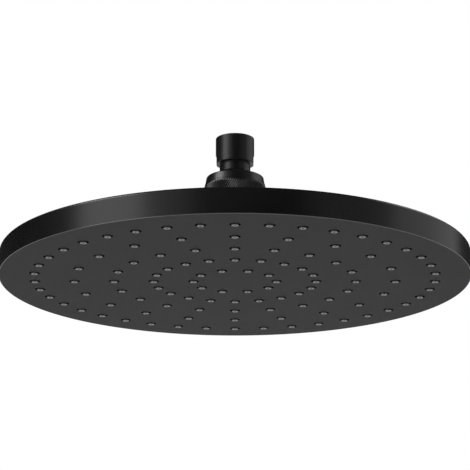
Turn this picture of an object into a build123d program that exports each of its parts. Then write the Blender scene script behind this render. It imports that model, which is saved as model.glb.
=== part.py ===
from build123d import *
import os
from math import atan, cos, degrees, pi, radians, sin, sqrt, tan

# Rain shower head, in millimetres. The nozzle tips lie on Z = 0, +Z is up along the head's axis,
# and the water comes in through the threaded connector at the top.

# Spray disc
head_diameter = 300.0
rim_height = 16.0
rim_wall = 3.0
rim_lip = 1.5  # width of the rim's top edge beside the set-in cover
face_thickness = 2.5
edge_chamfer = 0.5  # where the wall meets the face
crown_chamfer = 1.0  # at the rim's top edge
seat_width = 8.5  # moulded ring inside the wall that carries the gasket

# Nozzles, in rings that all start on +X
ring_counts = (10, 20, 20, 20, 40)
first_ring_radius = 26.5
ring_margin = 10.8  # from the outer ring to the gasket seat
nozzle_reach = 0.7  # how far the tips stand below the face
nozzle_tip_diameter = 4.8
nozzle_root_diameter = 6.0
nozzle_inlet_diameter = 3.2
orifice_diameter = 1.2
nozzle_sides = 8
orifice_sides = 4
nozzle_gap = 0.4  # radial play of a nozzle's root in its hole

# Water chamber
mat_thickness = 1.5
mat_gap = 0.5  # between the mat's edge and the gasket seat
retainer_thickness = 1.8
slot_width = 6.0
slot_overrun = 3.8  # how far a feed slot runs past the nozzle at its end
gasket_thickness = 1.2
gasket_inset = 0.5
chamber_cover_thickness = 2.2
chamber_cover_fit = 0.3
rib_width = 3.0
post_diameter = 6.0
post_count = 10
chamber_screw_count = 8
chamber_screw_diameter = 3.0
chamber_screw_head = 5.8
chamber_screw_bite = 5.5  # length held in the gasket seat
screw_play = 0.2  # radial, in clearance holes
pilot_play = 0.05  # radial, in pilot holes
pilot_spare = 0.5  # pilot depth past the screw's tip

# Top cover
cover_thickness = 2.2
cover_fit = 0.15
cover_gap = 0.8  # between the chamber cover and the set-in cover's ledge
cover_ledge = 2.0  # how far the cover's flat ledge reaches inside the wall
cover_slope = 5.0  # degrees
hub_straight = 3.0
hub_gap = 0.6  # between the hub and the stem's thread

# Swivel joint, set by its ball
swivel_rise = 46.9  # ball centre above the rim's top edge
ball_diameter = 28.0
ball_cut_angle = 145.0  # from the axis to the ball's flat lower end
seal_thickness = 1.0
seal_top_angle = 108.0
seal_end_angle = 128.0
seat_angle = 118.0  # where the seat ring's cone touches the seal
slide_gap = 0.08  # between surfaces that slide on each other
cup_gap = 0.12  # between the seal's outside and the stem's cup
cup_play = 0.1  # radial play of a ring in its bore
stem_thread_wall = 2.0
thread_gap = 0.1
seat_inner_radius = 10.5
seat_top_drop = 5.5  # below the ball centre
seat_base_drop = 14.0
seat_play = 0.05

# Lock nut and the ring that it presses on the ball
nut_wall = 1.9
nut_lip_angle = 64.0  # from the axis to the edge of the nut's opening
nut_lip_gap = 0.6
nut_lip_thickness = 1.5
nut_lip_flare = 0.35
nut_shoulder_radius = 2.6
knurl_proud = 0.6
knurl_chamfer = 0.4
knurl_top_drop = 5.0  # below the nut's top
nut_base_drop = 14.05
slip_ring_height = 4.0
slip_ring_angle = 72.0  # where the ring's cone touches the ball
slip_ring_wall = 1.9
dust_ring_thickness = 0.5
dust_ring_width = 1.9

# Inlet stem
stem_top_drop = 4.8
stem_head_length = 12.2
stem_bore_diameter = 22.0
stem_tube_wall = 3.0
stem_flange_diameter = 56.0
stem_flange_thickness = 4.0
spigot_fit = 0.2
stem_gasket_width = 4.0
stem_gasket_thickness = 1.2
stem_screw_count = 4
stem_screw_diameter = 4.0
stem_screw_head = 7.0
stem_screw_head_height = 2.4
stem_screw_bite = 4.7
stem_screw_edge = 4.5  # from the flange's edge to the screws' centres
screw_boss_wall = 1.6
screw_boss_gap = 1.0  # between a screw boss and the retainer

# Threaded connector, an internal half-inch pipe thread at its minor diameter
connector_diameter = 25.0
connector_height = 17.75
connector_chamfer = 0.8
shoulder_chamfer = 0.4
neck_diameter = 19.9
neck_length = 5.5
wrench_width = 24.0
wrench_height = 6.05
thread_diameter = 18.631
thread_length = 10.2
thread_lead = 0.8
relief_diameter = 19.2
relief_length = 5.0
connector_bore = 12.0
filter_washer_thickness = 2.4
filter_washer_play = 0.3
filter_hole_diameter = 13.0
mesh_thickness = 0.5
mesh_overlap = 1.0  # how far the mesh reaches into the washer's groove
mesh_play = 0.1
mesh_pitch = 2.4
mesh_opening = 1.7
mesh_rows = 5
regulator_diameter = 14.4
regulator_height = 4.0
regulator_play = 0.1
regulator_groove_inner = 3.2
regulator_groove_outer = 5.6
regulator_groove_depth = 2.2
regulator_hole_count = 8
regulator_hole_diameter = 1.4
regulator_ring_height = 1.4
regulator_ring_play = 0.3

# Radii and heights that follow from the sizes above
head_radius = head_diameter / 2
wall_radius = head_radius - rim_wall
rebate_radius = head_radius - rim_lip
gasket_seat_radius = wall_radius - seat_width
outer_ring_radius = gasket_seat_radius - ring_margin
ring_pitch = (outer_ring_radius - first_ring_radius) / (len(ring_counts) - 1)
ring_radii = [first_ring_radius + ring * ring_pitch for ring in range(len(ring_counts))]
mat_radius = gasket_seat_radius - mat_gap
screw_circle = wall_radius - seat_width / 2

face_bottom = nozzle_reach
face_top = face_bottom + face_thickness
mat_top = face_top + mat_thickness
retainer_top = mat_top + retainer_thickness
rim_top = face_bottom + rim_height
rebate_floor = rim_top - cover_thickness
chamber_top = rebate_floor - cover_gap
chamber_roof = chamber_top - chamber_cover_thickness
seat_top = chamber_roof - gasket_thickness

ball_z = rim_top + swivel_rise
ball_radius = ball_diameter / 2
seal_radius = ball_radius + slide_gap + seal_thickness
cup_radius = seal_radius + cup_gap
stem_radius = cup_radius + stem_thread_wall
nut_bore_radius = stem_radius + thread_gap
nut_radius = nut_bore_radius + nut_wall
knurl_radius = nut_radius + knurl_proud
lip_radius = (ball_radius + nut_lip_gap) * sin(radians(nut_lip_angle))
nut_top = ball_z + (ball_radius + nut_lip_gap) * cos(radians(nut_lip_angle))
nut_ledge = nut_top - nut_lip_thickness
nut_base = ball_z - nut_base_drop
hub_top = nut_base - dust_ring_thickness
stem_top = ball_z - stem_top_drop
stem_head_base = stem_top - stem_head_length
seat_base = ball_z - seat_base_drop
stem_bore_radius = stem_bore_diameter / 2
stem_tube_radius = stem_bore_radius + stem_tube_wall
flange_top = chamber_top + stem_flange_thickness
stem_screw_circle = stem_flange_diameter / 2 - stem_screw_edge

neck_radius = neck_diameter / 2
neck_base = ball_z + sqrt(ball_radius**2 - neck_radius**2)
shoulder = neck_base + neck_length
connector_top = shoulder + connector_height
thread_end = connector_top - thread_lead - thread_length
washer_seat = thread_end - relief_length
regulator_seat = washer_seat - regulator_height - regulator_play


def tangent_radius(height, radius, angle):
    """Radius at a height over the ball centre, on the line that touches a circle at an angle."""
    touch_radius = radius * sin(radians(angle))
    touch_height = radius * cos(radians(angle))
    return touch_radius - (height - touch_height) / tan(radians(angle))


def tangent_height(across, radius, angle):
    """Height over the ball centre at a radius, on the line that touches a circle at an angle."""
    touch_radius = radius * sin(radians(angle))
    touch_height = radius * cos(radians(angle))
    return touch_height - (across - touch_radius) * tan(radians(angle))


def taper(wide, narrow, sides, height):
    """Draft, in degrees, of a many-sided taper between two diameters across its corners."""
    return degrees(atan((wide - narrow) / 2 * cos(pi / sides) / height))


os.makedirs("parts", exist_ok=True)

# Face shell: moulded dish with the spray face, the side wall and the gasket seat
nozzle_hole_radius = nozzle_root_diameter / 2 + nozzle_gap
chamber_screw_radius = chamber_screw_diameter / 2
with BuildPart() as face_shell:
    with BuildSketch(Plane.XZ):
        with BuildLine():
            Polyline(
                (0, face_bottom),
                (head_radius - edge_chamfer, face_bottom),
                (head_radius, face_bottom + edge_chamfer),
                (head_radius, rim_top - crown_chamfer),
                (head_radius - crown_chamfer, rim_top),
                (rebate_radius, rim_top),
                (rebate_radius, rebate_floor),
                (wall_radius, rebate_floor),
                (wall_radius, seat_top),
                (gasket_seat_radius, seat_top),
                (gasket_seat_radius, face_top),
                (0, face_top),
                close=True,
            )
        make_face()
    revolve(axis=Axis.Z)
    with BuildSketch(Plane.XY.offset(face_bottom)):
        for ring_radius, ring_count in zip(ring_radii, ring_counts):
            with PolarLocations(ring_radius, ring_count):
                RegularPolygon(nozzle_hole_radius, nozzle_sides)
    extrude(amount=face_thickness, mode=Mode.SUBTRACT)
    with BuildSketch(Plane.XY.offset(seat_top)):
        with PolarLocations(screw_circle, chamber_screw_count):
            Circle(chamber_screw_radius + pilot_play)
    extrude(amount=-chamber_screw_bite - pilot_spare, mode=Mode.SUBTRACT)
face_shell.part.label = "face_shell"
export_step(face_shell.part, "parts/face_shell.step")

# Nozzle mat: one silicone sheet with every nozzle standing down through the face
with BuildPart() as nozzle:
    with BuildSketch(Plane.XY.offset(face_top)):
        RegularPolygon(nozzle_root_diameter / 2, nozzle_sides)
    extrude(amount=-face_top)
    nozzle_draft = taper(nozzle_root_diameter, nozzle_tip_diameter, nozzle_sides, face_top)
    draft(nozzle.faces().filter_by(Axis.Z, reverse=True), Plane.XY.offset(face_top), -nozzle_draft)
with BuildPart() as inlet:
    with BuildSketch(Plane.XY.offset(mat_top)):
        RegularPolygon(nozzle_inlet_diameter / 2, orifice_sides)
    extrude(amount=-mat_top)
    inlet_draft = taper(nozzle_inlet_diameter, orifice_diameter, orifice_sides, mat_top)
    draft(inlet.faces().filter_by(Axis.Z, reverse=True), Plane.XY.offset(mat_top), -inlet_draft)
with BuildPart() as nozzle_mat:
    with BuildSketch(Plane.XY.offset(face_top)):
        Circle(mat_radius)
    extrude(amount=mat_thickness)
    for ring_radius, ring_count in zip(ring_radii, ring_counts):
        with PolarLocations(ring_radius, ring_count):
            add(nozzle.part)
            add(inlet.part, mode=Mode.SUBTRACT)
nozzle_mat.part.label = "nozzle_mat"
export_step(nozzle_mat.part, "parts/nozzle_mat.step")

# Nozzle retainer: plate that presses the mat on the face, with radial slots that feed the nozzles
slot_end = outer_ring_radius + slot_overrun
with BuildPart() as nozzle_retainer:
    with BuildSketch(Plane.XY.offset(mat_top)):
        Circle(mat_radius)
        slots_cut = 0
        for ring_radius, ring_count in zip(ring_radii, ring_counts):
            slots_new = ring_count - slots_cut
            if slots_new > 0:
                slot_start = ring_radius - slot_overrun
                first_angle = 360 / ring_count if slots_cut else 0
                with PolarLocations((slot_start + slot_end) / 2, slots_new, first_angle):
                    Rectangle(slot_end - slot_start, slot_width, mode=Mode.SUBTRACT)
                slots_cut = ring_count
    extrude(amount=retainer_thickness)
nozzle_retainer.part.label = "nozzle_retainer"
export_step(nozzle_retainer.part, "parts/nozzle_retainer.step")

# Chamber gasket: flat ring on the gasket seat, pierced by the screws
with BuildPart() as chamber_gasket:
    with BuildSketch(Plane.XY.offset(seat_top)):
        Circle(wall_radius - gasket_inset)
        Circle(gasket_seat_radius + gasket_inset, mode=Mode.SUBTRACT)
        with PolarLocations(screw_circle, chamber_screw_count):
            Circle(chamber_screw_radius + screw_play, mode=Mode.SUBTRACT)
    extrude(amount=gasket_thickness)
chamber_gasket.part.label = "chamber_gasket"
export_step(chamber_gasket.part, "parts/chamber_gasket.step")

# Chamber cover: closes the water chamber, with a rib and posts that hold the retainer down
stem_screw_radius = stem_screw_diameter / 2
rib_outer = mat_radius - gasket_inset
screw_boss_end = retainer_top + screw_boss_gap
with BuildPart() as chamber_cover:
    with BuildSketch(Plane.XY.offset(chamber_roof)):
        Circle(wall_radius - chamber_cover_fit)
        Circle(stem_tube_radius + spigot_fit, mode=Mode.SUBTRACT)
    extrude(amount=chamber_cover_thickness)
    with BuildSketch(Plane.XY.offset(retainer_top)):
        Circle(rib_outer)
        Circle(rib_outer - rib_width, mode=Mode.SUBTRACT)
        with PolarLocations(ring_radii[2], post_count, 180 / ring_counts[2]):
            Circle(post_diameter / 2)
    extrude(amount=chamber_roof - retainer_top)
    with BuildSketch(Plane.XY.offset(screw_boss_end)):
        with PolarLocations(stem_screw_circle, stem_screw_count):
            Circle(stem_screw_radius + screw_boss_wall)
    extrude(amount=chamber_roof - screw_boss_end)
    with BuildSketch(Plane.XY.offset(chamber_top)):
        with PolarLocations(stem_screw_circle, stem_screw_count):
            Circle(stem_screw_radius + pilot_play)
    extrude(amount=-stem_screw_bite - pilot_spare, mode=Mode.SUBTRACT)
    with Locations(Plane.XY.offset(chamber_top)):
        with PolarLocations(screw_circle, chamber_screw_count):
            CounterSinkHole(
                chamber_screw_radius + screw_play,
                chamber_screw_head / 2 + screw_play,
                counter_sink_angle=90,
            )
chamber_cover.part.label = "chamber_cover"
export_step(chamber_cover.part, "parts/chamber_cover.step")

# Chamber screws: countersunk, flush with the chamber cover
screw_head_drop = chamber_screw_head / 2 - chamber_screw_radius
with BuildPart() as chamber_screws:
    with PolarLocations(screw_circle, chamber_screw_count):
        with Locations((0, 0, seat_top - chamber_screw_bite)):
            Cylinder(
                chamber_screw_radius,
                chamber_top - screw_head_drop - seat_top + chamber_screw_bite,
                align=(Align.CENTER, Align.CENTER, Align.MIN),
            )
        with Locations((0, 0, chamber_top - screw_head_drop)):
            Cone(
                chamber_screw_radius,
                chamber_screw_head / 2,
                screw_head_drop,
                align=(Align.CENTER, Align.CENTER, Align.MIN),
            )
chamber_screws.part.label = "chamber_screws"
export_step(chamber_screws.part, "parts/chamber_screws.step")

# Inlet stem: turned tube with a flange on the chamber cover and a threaded cup for the joint
gasket_inner = stem_tube_radius + spigot_fit
gasket_outer = gasket_inner + stem_gasket_width
with BuildPart() as inlet_stem:
    with BuildSketch(Plane.XZ):
        with BuildLine():
            Polyline(
                (stem_bore_radius, chamber_roof),
                (stem_tube_radius, chamber_roof),
                (stem_tube_radius, chamber_top),
                (gasket_inner, chamber_top),
                (gasket_inner, chamber_top + stem_gasket_thickness),
                (gasket_outer, chamber_top + stem_gasket_thickness),
                (gasket_outer, chamber_top),
                (stem_flange_diameter / 2, chamber_top),
                (stem_flange_diameter / 2, flange_top),
                (stem_tube_radius, flange_top),
                (stem_tube_radius, stem_head_base),
                (stem_radius, stem_head_base),
                (stem_radius, stem_top),
                (cup_radius, stem_top),
                (cup_radius, seat_base - seat_play),
                (stem_bore_radius, seat_base - seat_play),
                close=True,
            )
        make_face()
    revolve(axis=Axis.Z)
    with BuildSketch(Plane.XY.offset(chamber_top)):
        with PolarLocations(stem_screw_circle, stem_screw_count):
            Circle(stem_screw_radius + screw_play)
    extrude(amount=stem_flange_thickness, mode=Mode.SUBTRACT)
inlet_stem.part.label = "inlet_stem"
export_step(inlet_stem.part, "parts/inlet_stem.step")

# Stem gasket: flat ring in the recess under the stem's flange
with BuildPart() as stem_gasket:
    with BuildSketch(Plane.XY.offset(chamber_top)):
        Circle(gasket_outer - cup_play)
        Circle(gasket_inner + cup_play, mode=Mode.SUBTRACT)
    extrude(amount=stem_gasket_thickness)
stem_gasket.part.label = "stem_gasket"
export_step(stem_gasket.part, "parts/stem_gasket.step")

# Stem screws: pan heads on the stem's flange, held in the chamber cover's bosses
with BuildPart() as stem_screws:
    with PolarLocations(stem_screw_circle, stem_screw_count):
        with Locations((0, 0, chamber_top - stem_screw_bite)):
            Cylinder(
                stem_screw_radius,
                stem_screw_bite + stem_flange_thickness,
                align=(Align.CENTER, Align.CENTER, Align.MIN),
            )
        with Locations((0, 0, flange_top)):
            Cylinder(
                stem_screw_head / 2,
                stem_screw_head_height,
                align=(Align.CENTER, Align.CENTER, Align.MIN),
            )
stem_screws.part.label = "stem_screws"
export_step(stem_screws.part, "parts/stem_screws.step")

# Top cover: thin shell set into the rim, rising in a cone and a concave flare to the hub
cover_radius = rebate_radius - cover_fit
hub_inner = stem_radius + hub_gap
hub_radius = hub_inner + cover_thickness
flare_z = hub_top - hub_straight
slope_sin = sin(radians(cover_slope))
slope_cos = cos(radians(cover_slope))
slope_tan = tan(radians(cover_slope))
flare_radius = (flare_z - rim_top - (cover_radius - hub_radius) * slope_tan) / (
    slope_cos - (1 - slope_sin) * slope_tan
)
flare_x = hub_radius + flare_radius
under_radius = flare_radius + cover_thickness
ledge_radius = wall_radius - cover_ledge
under_foot = (flare_x - under_radius * slope_sin, flare_z - under_radius * slope_cos)
under_edge = under_foot[1] - (ledge_radius - under_foot[0]) * slope_tan
flare_start = -90.0 - cover_slope
flare_sweep = cover_slope - 90.0
with BuildPart() as top_cover:
    with BuildSketch(Plane.XZ):
        with BuildLine():
            outer_flare = CenterArc((flare_x, flare_z), flare_radius, flare_start, flare_sweep)
            under_flare = CenterArc((flare_x, flare_z), under_radius, flare_start, flare_sweep)
            Line((cover_radius, rim_top), outer_flare @ 0)
            Polyline(outer_flare @ 1, (hub_radius, hub_top), (hub_inner, hub_top), under_flare @ 1)
            Polyline(
                under_flare @ 0,
                (ledge_radius, under_edge),
                (ledge_radius, rebate_floor),
                (cover_radius, rebate_floor),
                (cover_radius, rim_top),
            )
        make_face()
    revolve(axis=Axis.Z)
top_cover.part.label = "top_cover"
export_step(top_cover.part, "parts/top_cover.step")

# Seat ring: acetal ring in the stem's cup, whose cone carries the seal
with BuildPart() as seat_ring:
    seat_touch = seal_radius + slide_gap
    seat_foot = tangent_height(seat_inner_radius, seat_touch, seat_angle)
    seat_crest = tangent_radius(-seat_top_drop, seat_touch, seat_angle)
    with BuildSketch(Plane.XZ):
        with BuildLine():
            Polyline(
                (seat_inner_radius, seat_base),
                (cup_radius - cup_play, seat_base),
                (cup_radius - cup_play, ball_z - seat_top_drop),
                (seat_crest, ball_z - seat_top_drop),
                (seat_inner_radius, ball_z + seat_foot),
                close=True,
            )
        make_face()
    revolve(axis=Axis.Z)
seat_ring.part.label = "seat_ring"
export_step(seat_ring.part, "parts/seat_ring.step")

# Ball seal: rubber cup, a zone of a hollow sphere under the ball
with BuildPart() as ball_seal:
    with BuildSketch(Plane.XZ):
        with BuildLine():
            seal_start = 90.0 - seal_end_angle
            seal_sweep = seal_end_angle - seal_top_angle
            inner_face = CenterArc((0, ball_z), ball_radius + slide_gap, seal_start, seal_sweep)
            outer_face = CenterArc((0, ball_z), seal_radius, seal_start, seal_sweep)
            Line(inner_face @ 0, outer_face @ 0)
            Line(inner_face @ 1, outer_face @ 1)
        make_face()
    revolve(axis=Axis.Z)
ball_seal.part.label = "ball_seal"
export_step(ball_seal.part, "parts/ball_seal.step")

# Slip ring: acetal wedge under the nut's lip that holds the ball down
with BuildPart() as slip_ring:
    ring_touch = ball_radius + slide_gap
    ring_outer = ring_touch + slip_ring_wall
    ring_base = nut_ledge - slip_ring_height
    ring_top_radius = tangent_radius(nut_ledge - ball_z, ring_touch, slip_ring_angle)
    ring_base_radius = tangent_radius(ring_base - ball_z, ring_touch, slip_ring_angle)
    with BuildSketch(Plane.XZ):
        with BuildLine():
            Polyline(
                (ring_base_radius, ring_base),
                (ring_outer, ring_base),
                (ring_outer, nut_ledge),
                (ring_top_radius, nut_ledge),
                close=True,
            )
        make_face()
    revolve(axis=Axis.Z)
slip_ring.part.label = "slip_ring"
export_step(slip_ring.part, "parts/slip_ring.step")

# Lock nut: turned cap that screws on the stem, with a round shoulder over a knurled band
knurl_top = nut_top - knurl_top_drop
with BuildPart() as lock_nut:
    with BuildSketch(Plane.XZ):
        with BuildLine():
            Polyline(
                (lip_radius, nut_top),
                (nut_radius - nut_shoulder_radius, nut_top),
            )
            RadiusArc(
                (nut_radius - nut_shoulder_radius, nut_top),
                (nut_radius, nut_top - nut_shoulder_radius),
                nut_shoulder_radius,
            )
            Polyline(
                (nut_radius, nut_top - nut_shoulder_radius),
                (nut_radius, knurl_top),
                (knurl_radius - knurl_chamfer, knurl_top),
                (knurl_radius, knurl_top - knurl_chamfer),
                (knurl_radius, nut_base + knurl_chamfer),
                (knurl_radius - knurl_chamfer, nut_base),
                (nut_bore_radius, nut_base),
                (nut_bore_radius, ring_base),
                (ring_outer + cup_play, ring_base),
                (ring_outer + cup_play, nut_ledge),
                (lip_radius + nut_lip_flare, nut_ledge),
                (lip_radius, nut_top),
            )
        make_face()
    revolve(axis=Axis.Z)
lock_nut.part.label = "lock_nut"
export_step(lock_nut.part, "parts/lock_nut.step")

# Dust ring: thin ring that closes the gap between the hub and the nut
with BuildPart() as dust_ring:
    with BuildSketch(Plane.XY.offset(hub_top)):
        Circle(hub_inner + dust_ring_width)
        Circle(hub_inner, mode=Mode.SUBTRACT)
    extrude(amount=dust_ring_thickness)
dust_ring.part.label = "dust_ring"
export_step(dust_ring.part, "parts/dust_ring.step")

# Swivel connector: turned in one piece, with the ball, the neck and the threaded socket
connector_radius = connector_diameter / 2
thread_radius = thread_diameter / 2
relief_radius = relief_diameter / 2
bore_radius = connector_bore / 2
regulator_pocket = regulator_diameter / 2 + regulator_play
ball_foot_radius = ball_radius * sin(radians(ball_cut_angle))
ball_foot = ball_z + ball_radius * cos(radians(ball_cut_angle))
with BuildPart() as swivel_connector:
    with BuildSketch(Plane.XZ):
        with BuildLine():
            ThreePointArc(
                (ball_foot_radius, ball_foot),
                (ball_radius, ball_z),
                (neck_radius, neck_base),
            )
            Polyline(
                (neck_radius, neck_base),
                (neck_radius, shoulder),
                (connector_radius - shoulder_chamfer, shoulder),
                (connector_radius, shoulder + shoulder_chamfer),
                (connector_radius, connector_top - connector_chamfer),
                (connector_radius - connector_chamfer, connector_top),
                (thread_radius + thread_lead, connector_top),
                (thread_radius, connector_top - thread_lead),
                (thread_radius, thread_end),
                (relief_radius, thread_end),
                (relief_radius, washer_seat),
                (regulator_pocket, washer_seat),
                (regulator_pocket, regulator_seat),
                (bore_radius, regulator_seat),
                (bore_radius, ball_foot),
                (ball_foot_radius, ball_foot),
            )
        make_face()
    revolve(axis=Axis.Z)
    flat_cut = connector_diameter - wrench_width
    with BuildSketch(Plane.XY.offset(shoulder)):
        with Locations((wrench_width / 2, 0), (-wrench_width / 2 - flat_cut, 0)):
            Rectangle(flat_cut, connector_diameter, align=(Align.MIN, Align.CENTER))
    extrude(amount=wrench_height, mode=Mode.SUBTRACT)
swivel_connector.part.label = "swivel_connector"
export_step(swivel_connector.part, "parts/swivel_connector.step")

# Filter washer: rubber washer on the socket's floor, with a groove that holds the mesh
washer_top = washer_seat + filter_washer_thickness
filter_radius = filter_hole_diameter / 2
groove_radius = filter_radius + mesh_overlap + mesh_play
groove_half = mesh_thickness / 2 + mesh_play
groove_z = (washer_seat + washer_top) / 2
with BuildPart() as filter_washer:
    with BuildSketch(Plane.XZ):
        with BuildLine():
            Polyline(
                (filter_radius, washer_seat),
                (relief_radius - filter_washer_play, washer_seat),
                (relief_radius - filter_washer_play, washer_top),
                (filter_radius, washer_top),
                (filter_radius, groove_z + groove_half),
                (groove_radius, groove_z + groove_half),
                (groove_radius, groove_z - groove_half),
                (filter_radius, groove_z - groove_half),
                close=True,
            )
        make_face()
    revolve(axis=Axis.Z)
filter_washer.part.label = "filter_washer"
export_step(filter_washer.part, "parts/filter_washer.step")

# Filter mesh: steel disc with square openings
mesh_limit = filter_radius - mesh_opening / 2
with BuildPart() as filter_mesh:
    with BuildSketch(Plane.XY.offset(groove_z - mesh_thickness / 2)):
        Circle(filter_radius + mesh_overlap)
        with GridLocations(mesh_pitch, mesh_pitch, mesh_rows, mesh_rows) as mesh_grid:
            mesh_places = [spot for spot in mesh_grid.local_locations]
        with Locations(*[spot for spot in mesh_places if spot.position.length < mesh_limit]):
            Rectangle(mesh_opening, mesh_opening, mode=Mode.SUBTRACT)
    extrude(amount=mesh_thickness)
filter_mesh.part.label = "filter_mesh"
export_step(filter_mesh.part, "parts/filter_mesh.step")

# Flow regulator: moulded plug under the washer, with a ringed groove and drain holes
regulator_top = regulator_seat + regulator_height
groove_floor = regulator_top - regulator_groove_depth
groove_middle = (regulator_groove_inner + regulator_groove_outer) / 2
with BuildPart() as flow_regulator:
    with BuildSketch(Plane.XY.offset(regulator_seat)):
        Circle(regulator_diameter / 2)
    extrude(amount=regulator_height)
    with BuildSketch(Plane.XY.offset(regulator_top)):
        Circle(regulator_groove_outer)
        Circle(regulator_groove_inner, mode=Mode.SUBTRACT)
    extrude(amount=-regulator_groove_depth, mode=Mode.SUBTRACT)
    with BuildSketch(Plane.XY.offset(groove_floor)):
        with PolarLocations(groove_middle, regulator_hole_count):
            Circle(regulator_hole_diameter / 2)
    extrude(amount=regulator_seat - groove_floor, mode=Mode.SUBTRACT)
flow_regulator.part.label = "flow_regulator"
export_step(flow_regulator.part, "parts/flow_regulator.step")

# Regulator ring: rubber ring in the regulator's groove
with BuildPart() as regulator_ring:
    with BuildSketch(Plane.XY.offset(groove_floor)):
        Circle(regulator_groove_outer - regulator_ring_play)
        Circle(regulator_groove_inner + regulator_ring_play, mode=Mode.SUBTRACT)
    extrude(amount=regulator_ring_height)
regulator_ring.part.label = "regulator_ring"
export_step(regulator_ring.part, "parts/regulator_ring.step")
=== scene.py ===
"""Rain shower head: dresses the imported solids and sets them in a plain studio."""

from math import cos, pi, radians, sin, tan

import bmesh
import bpy
from mathutils import Matrix, Vector


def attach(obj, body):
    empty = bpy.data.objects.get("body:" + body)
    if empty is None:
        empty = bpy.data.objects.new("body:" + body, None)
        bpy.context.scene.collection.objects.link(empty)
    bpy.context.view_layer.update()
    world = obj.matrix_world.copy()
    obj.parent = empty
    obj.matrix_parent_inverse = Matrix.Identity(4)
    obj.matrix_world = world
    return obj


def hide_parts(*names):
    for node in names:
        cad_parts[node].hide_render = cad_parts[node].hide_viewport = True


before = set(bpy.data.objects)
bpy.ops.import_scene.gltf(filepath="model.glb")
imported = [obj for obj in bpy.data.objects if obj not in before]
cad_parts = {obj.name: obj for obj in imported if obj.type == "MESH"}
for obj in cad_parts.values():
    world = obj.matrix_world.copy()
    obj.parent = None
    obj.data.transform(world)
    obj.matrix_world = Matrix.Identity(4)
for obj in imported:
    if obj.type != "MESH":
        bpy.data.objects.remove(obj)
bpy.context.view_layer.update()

# Face shell: the spray face and the side wall, moulded in one piece of black ABS. The tool leaves a
# fine grain on the flat face and a satin wall. The nozzles stand out through its holes, and a ring
# inside carries the gasket. Lengths in the mesh code are millimetres, heights from the nozzle tips.
millimetre = 0.001
head_radius = 150.0
wall_radius = 147.0
rebate_radius = 148.5
gasket_seat_radius = 138.5
face_bottom = 0.7
face_top = 3.2
seat_top = 10.3
rebate_floor = 14.5
rim_top = 16.7
bottom_rounding = 0.4
crown_drop = 1.0
crown_inset = 0.8
crown_rounding = 1.5
top_rounding = 0.5
inner_rounding = 0.05
face_margin = 0.15
hole_radius = 3.4
hole_rounding = 0.15
pilot_radius = 1.55
pilot_floor = 4.3
pilot_circle = 142.75
pilot_count = 8
rim_columns = 288
hole_columns = 24
ring_counts = (10, 20, 20, 20, 40)
ring_radii = (26.5, 51.8, 77.1, 102.4, 127.7)
nozzle_places = [
    (ring * cos(2 * pi * spot / count), ring * sin(2 * pi * spot / count))
    for ring, count in zip(ring_radii, ring_counts)
    for spot in range(count)
]


def rounded(corners, steps=6, guard=0.08):
    """Profile points through (radius, height, rounding) corners. A rounding becomes an arc between
    two points that keep the runs beside it straight in the shading. Both ends stay as they are."""
    points = [Vector(corners[0][:2])]
    for before, corner, after in zip(corners, corners[1:], corners[2:]):
        middle = Vector(corner[:2])
        rounding = corner[2]
        if not rounding:
            points.append(middle)
            continue
        back = (Vector(before[:2]) - middle).normalized()
        ahead = (Vector(after[:2]) - middle).normalized()
        half = back.angle(ahead) / 2
        reach = rounding / tan(half)
        centre = middle + (back + ahead).normalized() * rounding / sin(half)
        first = (middle + back * reach - centre) / rounding
        last = (middle + ahead * reach - centre) / rounding
        points.append(middle + back * (reach + guard))
        points += [centre + first.slerp(last, step / steps) * rounding for step in range(steps + 1)]
        points.append(middle + ahead * (reach + guard))
    return points + [Vector(corners[-1][:2])]


def turned(mesh, profile, columns, place=(0.0, 0.0), closed=False):
    """Rings of quads round an upright axis through the profile's (radius, height) points.
    A radius may be a function of the turn."""
    turns = [2 * pi * column / columns for column in range(columns)]
    rings = []
    for radius, height in profile:
        reach = [radius(turn) if callable(radius) else radius for turn in turns]
        rings.append(
            [
                mesh.verts.new((place[0] + r * cos(turn), place[1] + r * sin(turn), height))
                for r, turn in zip(reach, turns)
            ]
        )
    for ring, above in zip(rings, rings[1:] + (rings[:1] if closed else [])):
        for column in range(columns):
            beside = (column + 1) % columns
            quad = (ring[column], ring[beside], above[beside], above[column])
            mesh.faces.new(quad).smooth = True
    return rings


def filled(mesh, loops, finish=0):
    """Flat triangles inside the first loop of points and outside the others."""
    edges = []
    for loop in loops:
        for start, end in zip(loop, loop[1:] + loop[:1]):
            edges.append(mesh.edges.get((start, end)) or mesh.edges.new((start, end)))
    made = bmesh.ops.triangle_fill(mesh, use_beauty=True, use_dissolve=False, edges=edges)
    for item in made["geom"]:
        if isinstance(item, bmesh.types.BMFace):
            item.smooth = False
            item.material_index = finish


def piece_of(mesh, name, finishes, body, node, crease=35.0):
    """The finished piece in metres, on its body, in place of its CAD node."""
    bmesh.ops.remove_doubles(mesh, verts=mesh.verts, dist=1e-4)
    bmesh.ops.recalc_face_normals(mesh, faces=mesh.faces)
    data = bpy.data.meshes.new(name)
    mesh.to_mesh(data)
    mesh.free()
    data.transform(Matrix.Scale(millimetre, 4))
    data.set_sharp_from_angle(angle=radians(crease))
    for finish in finishes:
        data.materials.append(finish)
    piece = bpy.data.objects.new(name, data)
    bpy.context.scene.collection.objects.link(piece)
    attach(piece, body)
    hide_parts(node)


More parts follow.
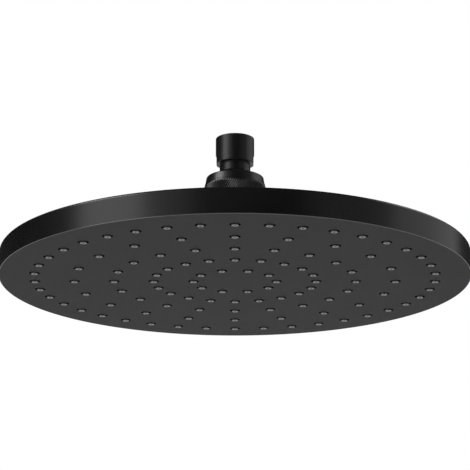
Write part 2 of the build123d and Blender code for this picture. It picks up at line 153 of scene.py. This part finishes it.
class Shade:
    """A value in a shader tree. Sums with it add Math nodes, and add brings any other node."""

    def __init__(self, tree, socket=None):
        self.tree = tree
        self.socket = socket

    def add(self, kind, settings, inputs, output=0):
        node = self.tree.nodes.new(kind)
        for name, value in settings.items():
            if name == "stops":
                for stop, (position, colour) in zip(node.color_ramp.elements, value):
                    stop.position = position
                    stop.color = colour
            else:
                setattr(node, name, value)
        for name, value in inputs.items():
            if isinstance(value, Shade):
                self.tree.links.new(value.socket, node.inputs[name])
            else:
                node.inputs[name].default_value = value
        return Shade(self.tree, node.outputs[output] if node.outputs else None)

    def maths(self, operation, first, second):
        return self.add("ShaderNodeMath", {"operation": operation}, {0: first, 1: second})

    def __add__(self, other):
        return self.maths("ADD", self, other)

    def __radd__(self, other):
        return self.maths("ADD", other, self)

    def __mul__(self, other):
        return self.maths("MULTIPLY", self, other)

    def __rmul__(self, other):
        return self.maths("MULTIPLY", other, self)

    def __rsub__(self, other):
        return self.maths("SUBTRACT", other, self)

    def __gt__(self, other):
        return self.maths("GREATER_THAN", self, other)


def new_finish(name):
    """An empty material and the start of its shader tree."""
    finish = bpy.data.materials.new(name)
    finish.use_nodes = True
    finish.node_tree.nodes.clear()
    return finish, Shade(finish.node_tree)


def surface(tree, inputs):
    """Closes a shader tree with a Principled surface."""
    skin = tree.add("ShaderNodeBsdfPrincipled", {}, inputs)
    tree.add("ShaderNodeOutputMaterial", {}, {"Surface": skin})


def grey(level):
    """A neutral colour."""
    return (level, level, level, 1.0)


def noise(tree, scale, detail=2.0, squeeze=(1.0, 1.0, 1.0)):
    """Cloudy pattern in the part's own space, with its scale in waves per metre."""
    place = tree.add("ShaderNodeTexCoord", {}, {}, "Object")
    pressed = tree.add("ShaderNodeMapping", {}, {"Vector": place, "Scale": squeeze})
    return tree.add("ShaderNodeTexNoise", {}, {"Vector": pressed, "Scale": scale, "Detail": detail})


def tinted(tree, pattern, dark, light):
    """Colour that drifts between two tones with a cloudy pattern."""
    return tree.add("ShaderNodeValToRGB", {"stops": [(0.3, dark), (0.7, light)]}, {"Fac": pattern})


def relief(tree, pattern, strength, depth):
    """Surface normal of a fine pattern, with its depth in metres."""
    inputs = {"Height": pattern, "Strength": strength, "Distance": depth}
    return tree.add("ShaderNodeBump", {}, inputs)


def moulded(name, dark, light, roughness, grain_scale, grain_depth, sheen=0.5):
    """Moulded material: a faint cloud in its colour and gloss, and a fine grain from the tool."""
    gloss_drift = 0.06
    finish, tree = new_finish(name)
    cloud = noise(tree, scale=22.0, detail=3.0)
    grain = noise(tree, grain_scale)
    surface(
        tree,
        {
            "Base Color": tinted(tree, cloud, dark, light),
            "Roughness": roughness - gloss_drift / 2 + cloud * gloss_drift,
            "Specular IOR Level": sheen,
            "Normal": relief(tree, grain, strength=0.35, depth=grain_depth),
        },
    )
    return finish


# The satin wall's black is painted darker than the same ABS on the back cover: painted shade.
satin_abs_painted_shade = moulded(
    "satin_black_abs_painted_shade",
    grey(0.004),
    grey(0.006),
    roughness=0.27,
    grain_scale=2600.0,
    grain_depth=0.000004,
)
grained_abs = moulded(
    "grained_black_abs",
    grey(0.007),
    grey(0.008),
    roughness=0.64,
    grain_scale=2200.0,
    grain_depth=0.00005,
    sheen=0.2,
)
worn_abs = moulded(
    "worn_black_abs",
    grey(0.006),
    grey(0.01),
    roughness=0.2,
    grain_scale=1500.0,
    grain_depth=0.000006,
    sheen=1.0,
)
face_finishes = [satin_abs_painted_shade, grained_abs, worn_abs]
on_face = face_finishes.index(grained_abs)
on_edge = face_finishes.index(worn_abs)

face_mesh = bmesh.new()
outside = turned(
    face_mesh,
    rounded(
        [
            (head_radius - bottom_rounding - face_margin, face_bottom, 0),
            (head_radius, face_bottom, bottom_rounding),
            (head_radius, rim_top - crown_drop, crown_rounding),
            (head_radius - crown_inset, rim_top, top_rounding),
            (rebate_radius, rim_top, inner_rounding),
            (rebate_radius, rebate_floor, 0),
            (wall_radius, rebate_floor, 0),
            (wall_radius, seat_top, 0),
        ]
    ),
    rim_columns,
)
inside = turned(
    face_mesh, [(gasket_seat_radius, seat_top), (gasket_seat_radius, face_top)], rim_columns
)
hole_profile = rounded(
    [
        (hole_radius + 2 * hole_rounding, face_bottom, 0),
        (hole_radius, face_bottom, hole_rounding),
        (hole_radius, face_top, 0),
    ],
    steps=3,
    guard=0.04,
)
holes = [turned(face_mesh, hole_profile, hole_columns, place) for place in nozzle_places]
pilot_profile = [(pilot_radius, seat_top), (pilot_radius, pilot_floor)]
pilots = []
for spot in range(pilot_count):
    turn = 2 * pi * spot / pilot_count
    place = (pilot_circle * cos(turn), pilot_circle * sin(turn))
    mouth, bottom = turned(face_mesh, pilot_profile, hole_columns, place)
    filled(face_mesh, [bottom])
    pilots.append(mouth)
filled(face_mesh, [outside[0]] + [hole[0] for hole in holes], finish=on_face)
filled(face_mesh, [inside[-1]] + [hole[-1] for hole in holes])
filled(face_mesh, [outside[-1], inside[0]] + pilots)
for facet in face_mesh.faces:
    middle = facet.calc_center_median()
    if middle.z < face_bottom + bottom_rounding:
        rubbed = middle.xy.length > head_radius - bottom_rounding
        facet.material_index = on_edge if rubbed else on_face
piece_of(face_mesh, "moulded_face", face_finishes, "head", "face_shell")

# Nozzle mat: one sheet of smooth black silicone, moulded with every nozzle and its orifice.
# It lies on the inside of the face, and the soft nozzles stand 0.7 mm out of the holes.
mat_radius = 138.0
mat_top = 4.7
root_radius = 3.0
waist_radius = 2.3
waist_height = 2.1
waist_rounding = 0.9
tip_radius = 2.15
tip_height = 0.0
tip_rounding = 0.35
orifice_radius = 0.6
orifice_rounding = 0.15
inlet_radius = 1.6
mat_columns = 192
nozzle_columns = 24

silicone, silicone_tree = new_finish("black_silicone")
silicone_roughness = 0.12
bloom_gloss = 0.06
bloom = noise(silicone_tree, scale=60.0, detail=3.0)
surface(
    silicone_tree,
    {
        "Base Color": tinted(silicone_tree, bloom, grey(0.026), grey(0.032)),
        "Roughness": silicone_roughness + bloom * bloom_gloss,
        "Specular IOR Level": 0.9,
    },
)

mat_mesh = bmesh.new()
mat_edge = turned(mat_mesh, [(mat_radius, face_top), (mat_radius, mat_top)], mat_columns)
nozzle_profile = rounded(
    [
        (root_radius, face_top, 0),
        (waist_radius, waist_height, waist_rounding),
        (tip_radius, tip_height, tip_rounding),
        (orifice_radius, tip_height, orifice_rounding),
        (inlet_radius, mat_top, 0),
    ],
    steps=4,
    guard=0.03,
)
nozzles = [turned(mat_mesh, nozzle_profile, nozzle_columns, place) for place in nozzle_places]
filled(mat_mesh, [mat_edge[0]] + [nozzle[0] for nozzle in nozzles])
filled(mat_mesh, [mat_edge[1]] + [nozzle[-1] for nozzle in nozzles])
piece_of(mat_mesh, "silicone_nozzles", [silicone], "head", "nozzle_mat")

# Water chamber: the slotted retainer presses the mat on the face, and the ribbed cover closes the
# chamber over it. Both are moulded in natural grey ABS and stay hidden inside the head.
grey_abs = moulded(
    "natural_grey_abs",
    grey(0.38),
    grey(0.44),
    roughness=0.5,
    grain_scale=1800.0,
    grain_depth=0.00004,
)


def refinish(finish, *nodes):
    """Gives CAD nodes that keep their shape a material of this scene."""
    for node in nodes:
        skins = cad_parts[node].data.materials
        skins.clear()
        skins.append(finish)


refinish(grey_abs, "nozzle_retainer", "chamber_cover")

# Gaskets: flat rings cut from black EPDM sheet, one under the chamber cover and one under the stem.
# The seal under the ball and the dust ring under the nut are moulded in the same rubber.
black_rubber = moulded(
    "black_epdm",
    grey(0.016),
    grey(0.024),
    roughness=0.66,
    grain_scale=3200.0,
    grain_depth=0.00005,
    sheen=0.35,
)
refinish(black_rubber, "chamber_gasket", "stem_gasket", "ball_seal", "dust_ring")


# Screws: eight countersunk ones hold the chamber cover, and four with pan heads hold the stem's
# flange. They are cold-formed stainless steel, bare.
def turned_metal(name, dark, light, roughness, metallic, ring_depth):
    """Metal off the lathe, bare or coated: fine rings round the axis in its colour and gloss."""
    gloss_drift = 0.05
    finish, tree = new_finish(name)
    rings = noise(tree, scale=900.0, squeeze=(0.03, 0.03, 1.0))
    cloud = noise(tree, scale=70.0, detail=3.0)
    surface(
        tree,
        {
            "Base Color": tinted(tree, cloud, dark, light),
            "Roughness": roughness - gloss_drift + rings * gloss_drift + cloud * gloss_drift,
            "Metallic": metallic,
            "Normal": relief(tree, rings, strength=0.25, depth=ring_depth),
        },
    )
    return finish


screw_steel = turned_metal(
    "screw_steel", grey(0.5), grey(0.6), roughness=0.32, metallic=1.0, ring_depth=0.00001
)
refinish(screw_steel, "chamber_screws", "stem_screws")

# Inlet stem: a brass turning with a flange on the chamber cover and a threaded cup for the ball
# joint. The back cover and the nut hide it, so the brass stays bare.
dark_brass = (0.62, 0.43, 0.16, 1.0)
light_brass = (0.74, 0.54, 0.23, 1.0)
bare_brass = turned_metal(
    "bare_brass", dark_brass, light_brass, roughness=0.3, metallic=1.0, ring_depth=0.00001
)
refinish(bare_brass, "inlet_stem")

# Top cover: the back shell, moulded in black ABS and set into the rim's rebate. It rises in a
# shallow cone and a concave flare to the hub under the nut. Its grain is coarser than the wall's.
# Its black is painted lighter than the same ABS on the wall, so the back reads lighter from above:
# painted light.
back_abs_painted_lighter = moulded(
    "back_black_abs_painted_lighter",
    grey(0.011),
    grey(0.014),
    roughness=0.48,
    grain_scale=1500.0,
    grain_depth=0.00005,
)
refinish(back_abs_painted_lighter, "top_cover")

# Seat ring and slip ring: machined white acetal, one under the ball's seal and one under the nut's
# lip. The ball turns between them.
acetal = moulded(
    "white_acetal", grey(0.78), grey(0.82), roughness=0.4, grain_scale=2400.0, grain_depth=0.00002
)
refinish(acetal, "seat_ring", "slip_ring")

# Lock nut: a turned brass cap with a satin black coating that screws on the stem and holds the
# ball. A diamond knurl is rolled into its band for the hand, and the collar above it tapers a
# little to a rounded shoulder.
nut_base = 49.55
nut_top = 70.0
nut_ledge = 68.5
collar_radius = 19.2
shoulder_radius = 18.4
nut_shoulder = 1.4
knurl_radius = 19.8
knurl_top = 65.0
knurl_chamfer = 0.4
knurl_rounding = 0.15
knurl_depth = 0.38
knurl_around = 80
knurl_rows = 12
nut_columns = 2 * knurl_around
nut_bore = 17.3
bore_rounding = 0.2
ring_pocket = 16.08
ring_base = 64.5
lip_radius = 13.122
lip_foot = 13.472
lip_rounding = 0.3

black_coat = turned_metal(
    "satin_black_coat", grey(0.006), grey(0.009), roughness=0.3, metallic=0.0, ring_depth=0.000006
)

nut_mesh = bmesh.new()
nut_profile = rounded(
    [
        (knurl_radius - knurl_depth, knurl_top - knurl_chamfer, 0),
        (knurl_radius - knurl_chamfer, knurl_top, knurl_rounding),
        (collar_radius, knurl_top, knurl_rounding),
        (shoulder_radius, nut_top, nut_shoulder),
        (lip_radius, nut_top, lip_rounding),
        (lip_foot, nut_ledge, 0),
        (ring_pocket, nut_ledge, 0),
        (ring_pocket, ring_base, 0),
        (nut_bore, ring_base, 0),
        (nut_bore, nut_base, bore_rounding),
        (knurl_radius - knurl_chamfer, nut_base, knurl_rounding),
        (knurl_radius - knurl_depth, nut_base + knurl_chamfer, 0),
    ],
    steps=8,
)
nut_rings = turned(nut_mesh, nut_profile, nut_columns)
band = [nut_rings[-1]]
band_low = nut_base + knurl_chamfer
band_step = (knurl_top - knurl_chamfer - band_low) / knurl_rows
for row in range(1, knurl_rows):
    ring = []
    for column in range(nut_columns):
        reach = knurl_radius - (knurl_depth if (row + column) % 2 else 0.0)
        turn = 2 * pi * column / nut_columns
        point = (reach * cos(turn), reach * sin(turn), band_low + row * band_step)
        ring.append(nut_mesh.verts.new(point))
    band.append(ring)
band.append(nut_rings[0])
for row, (below, above) in enumerate(zip(band, band[1:])):
    for column in range(nut_columns):
        beside = (column + 1) % nut_columns
        quad = [below[column], below[beside], above[beside], above[column]]
        if (row + column) % 2:
            quad = quad[1:] + quad[:1]
        nut_mesh.faces.new((quad[0], quad[1], quad[2]))
        nut_mesh.faces.new((quad[0], quad[2], quad[3]))
piece_of(nut_mesh, "knurled_nut", [black_coat], "head", "lock_nut")

# Swivel connector: turned from one brass bar with a satin black coating, the ball, the neck and the
# socket in one piece. Two flats are milled for the wrench, and a half-inch pipe thread is cut in
# the socket.
ball_height = 63.6
ball_radius = 14.0
ball_foot = 52.132
ball_foot_turn = -0.9601
ball_neck_turn = 0.784
ball_steps = 30
neck_radius = 9.95
neck_base = 73.549
neck_fillet = 0.25
connector_shoulder = 78.949
shoulder_rounding = 0.35
shoulder_inset = 1.0
connector_radius = 12.5
connector_top = 96.699
connector_rounding = 0.7
flat_reach = 12.0
flat_top = 84.999
thread_radius = 9.3155
thread_depth = 1.16
thread_pitch = 1.814
thread_low = 85.699
thread_high = 95.899
thread_lead = 0.8
thread_rows = 68
thread_fade = 1.0
relief_radius = 9.6
washer_seat = 80.699
regulator_pocket = 7.3
regulator_seat = 76.599
bore_radius = 6.0
connector_columns = 192
connector_crease = 14.0


def milled(turn):
    """Radius of the round bar with its two wrench flats."""
    side = abs(cos(turn))
    return flat_reach / side if connector_radius * side > flat_reach else connector_radius


def threaded(height):
    """Radius of the pipe thread at a height, as a function of the turn."""
    rise = min(1.0, (height - thread_low) / thread_fade, (thread_high - height) / thread_fade)

    def reach(turn):
        wave = 0.5 - 0.5 * cos(2 * pi * (height / thread_pitch - turn / (2 * pi)))
        return thread_radius + thread_depth * rise * wave

    return reach


ball_turns = [
    ball_foot_turn + (ball_neck_turn - ball_foot_turn) * step / ball_steps
    for step in range(ball_steps + 1)
]
thread_heights = [
    thread_high + (thread_low - thread_high) * row / thread_rows for row in range(1, thread_rows)
]
connector_profile = [
    (ball_radius * cos(turn), ball_height + ball_radius * sin(turn)) for turn in ball_turns
]
connector_profile += rounded(
    [
        (neck_radius, neck_base, 0),
        (neck_radius, connector_shoulder, neck_fillet),
        (connector_radius - shoulder_inset, connector_shoulder, 0),
    ]
)
connector_profile += [
    (lambda turn: milled(turn) - shoulder_rounding, connector_shoulder),
    (lambda turn: milled(turn) - shoulder_rounding / 3, connector_shoulder + shoulder_rounding / 3),
    (milled, connector_shoulder + shoulder_rounding),
    (milled, flat_top),
]
connector_profile += rounded(
    [
        (connector_radius, flat_top, 0),
        (connector_radius, connector_top, connector_rounding),
        (thread_radius + thread_lead, connector_top, 0),
        (thread_radius, thread_high, 0),
    ],
    steps=8,
)
connector_profile += [(threaded(height), height) for height in thread_heights]
connector_profile += [
    (thread_radius, thread_low),
    (relief_radius, thread_low),
    (relief_radius, washer_seat),
    (regulator_pocket, washer_seat),
    (regulator_pocket, regulator_seat),
    (bore_radius, regulator_seat),
    (bore_radius, ball_foot),
]
connector_mesh = bmesh.new()
turned(connector_mesh, connector_profile, connector_columns, closed=True)
piece_of(
    connector_mesh,
    "threaded_connector",
    [black_coat],
    "connector",
    "swivel_connector",
    connector_crease,
)

# Socket inserts: a rubber washer with a steel filter mesh lies on the socket's floor, over a
# moulded flow regulator with its rubber ring. They are pressed in by hand.
refinish(black_rubber, "filter_washer", "regulator_ring")
refinish(screw_steel, "filter_mesh")
refinish(grey_abs, "flow_regulator")

# Studio floor: plain and pale, as far below the head as a shower tray is. It isn't part of the
# object: it takes the shadow, and the light that it sends up is what the face is seen by.
floor_height = -2.1
floor_reach = 30.0
floor_corners = ((-1, -1), (1, -1), (1, 1), (-1, 1))
pale, pale_tree = new_finish("pale_floor")
speckle = noise(pale_tree, scale=40.0)
pale_colour = tinted(pale_tree, speckle, grey(0.84), grey(0.86))
surface(pale_tree, {"Base Color": pale_colour, "Roughness": 0.9})
ground = bpy.data.meshes.new("floor")
ground.from_pydata(
    [(x * floor_reach, y * floor_reach, floor_height) for x, y in floor_corners],
    [],
    [(0, 1, 2, 3)],
)
ground.materials.append(pale)
floor_piece = bpy.data.objects.new("floor", ground)
bpy.context.scene.collection.objects.link(floor_piece)

# Lamps: a tall softbox on each side draws the light bands on the wall, with a fill beside it and a
# key above it for the shoulders. A low lamp on the left draws the line along the face's edge, and a
# wide soft sun overhead lights the floor.
lamp_distance = 1.6
sun_distance = 3.0


def lamp(name, kind, turn, lift, away, power, **settings):
    """A lamp aimed at the head, by its turn from the camera's side, its lift and its distance."""
    light = bpy.data.lights.new(name, kind)
    light.energy = power
    for setting, value in settings.items():
        setattr(light, setting, value)
    holder = bpy.data.objects.new(name, light)
    level = cos(radians(lift))
    way = Vector((sin(radians(turn)) * level, -cos(radians(turn)) * level, sin(radians(lift))))
    holder.location = way * away
    holder.rotation_euler = (-way).to_track_quat("-Z", "Y").to_euler()
    bpy.context.scene.collection.objects.link(holder)
    return holder


for name, turn, lift, power, width, height in (
    ("left_softbox", -59, 16, 5.2, 0.92, 1.1),
    ("left_low", -59, -35, 5.0, 0.92, 0.5),
    ("left_fill", -34, 18, 1.3, 0.8, 1.3),
    ("left_key", -72, 42, 8.8, 0.8, 0.5),
    ("right_softbox", 104, 18, 4.0, 1.5, 1.4),
    ("right_fill", 60, 18, 1.1, 1.5, 1.3),
    ("right_key", 112, 44, 2.6, 0.9, 0.45),
):
    lamp(
        name, "AREA", turn, lift, lamp_distance, power, shape="RECTANGLE", size=width, size_y=height
    )
overhead = lamp(
    "overhead", "SUN", turn=0, lift=88, away=sun_distance, power=2.85, angle=radians(40)
)
overhead.visible_glossy = False

# Background: white to the lens, and in reflections where the backdrop stands, straight behind the
# head. The rest of the room is dim, so that the black wall stays black between its light bands.
backdrop_edge = 0.985
dim_room = 0.02
world = bpy.data.worlds.new("studio")
bpy.context.scene.world = world
world.use_nodes = True
world.node_tree.nodes.clear()
room = Shade(world.node_tree)
direction = room.add("ShaderNodeTexCoord", {}, {}, "Generated")
behind = room.add("ShaderNodeSeparateXYZ", {}, {"Vector": direction}, "Y") > backdrop_edge
to_lens, in_gloss, through_glass = (
    room.add("ShaderNodeLightPath", {}, {}, f"Is {kind} Ray")
    for kind in ("Camera", "Glossy", "Transmission")
)
backdrop = to_lens + (in_gloss + through_glass) * behind
brightness = backdrop + (1 - backdrop) * dim_room
glow = room.add("ShaderNodeBackground", {}, {"Color": grey(1.0), "Strength": brightness})
room.add("ShaderNodeOutputWorld", {}, {"Surface": glow})

# Camera: a long lens under the head on its near side, looking up at the face.
# It stands on the head's middle plane and isn't rolled or shifted.
camera_lift = 16.205
camera_data = bpy.data.cameras.new("camera")
camera_data.lens = 155.39
camera_data.sensor_width = 36.0
camera_data.clip_end = 100.0
camera = bpy.data.objects.new("camera", camera_data)
camera.location = (0.0, -1.2514, -0.3322)
camera.rotation_euler = (radians(90 + camera_lift), 0.0, 0.0)
bpy.context.scene.collection.objects.link(camera)
bpy.context.scene.camera = camera
bpy.context.scene.view_settings.view_transform = "Standard"
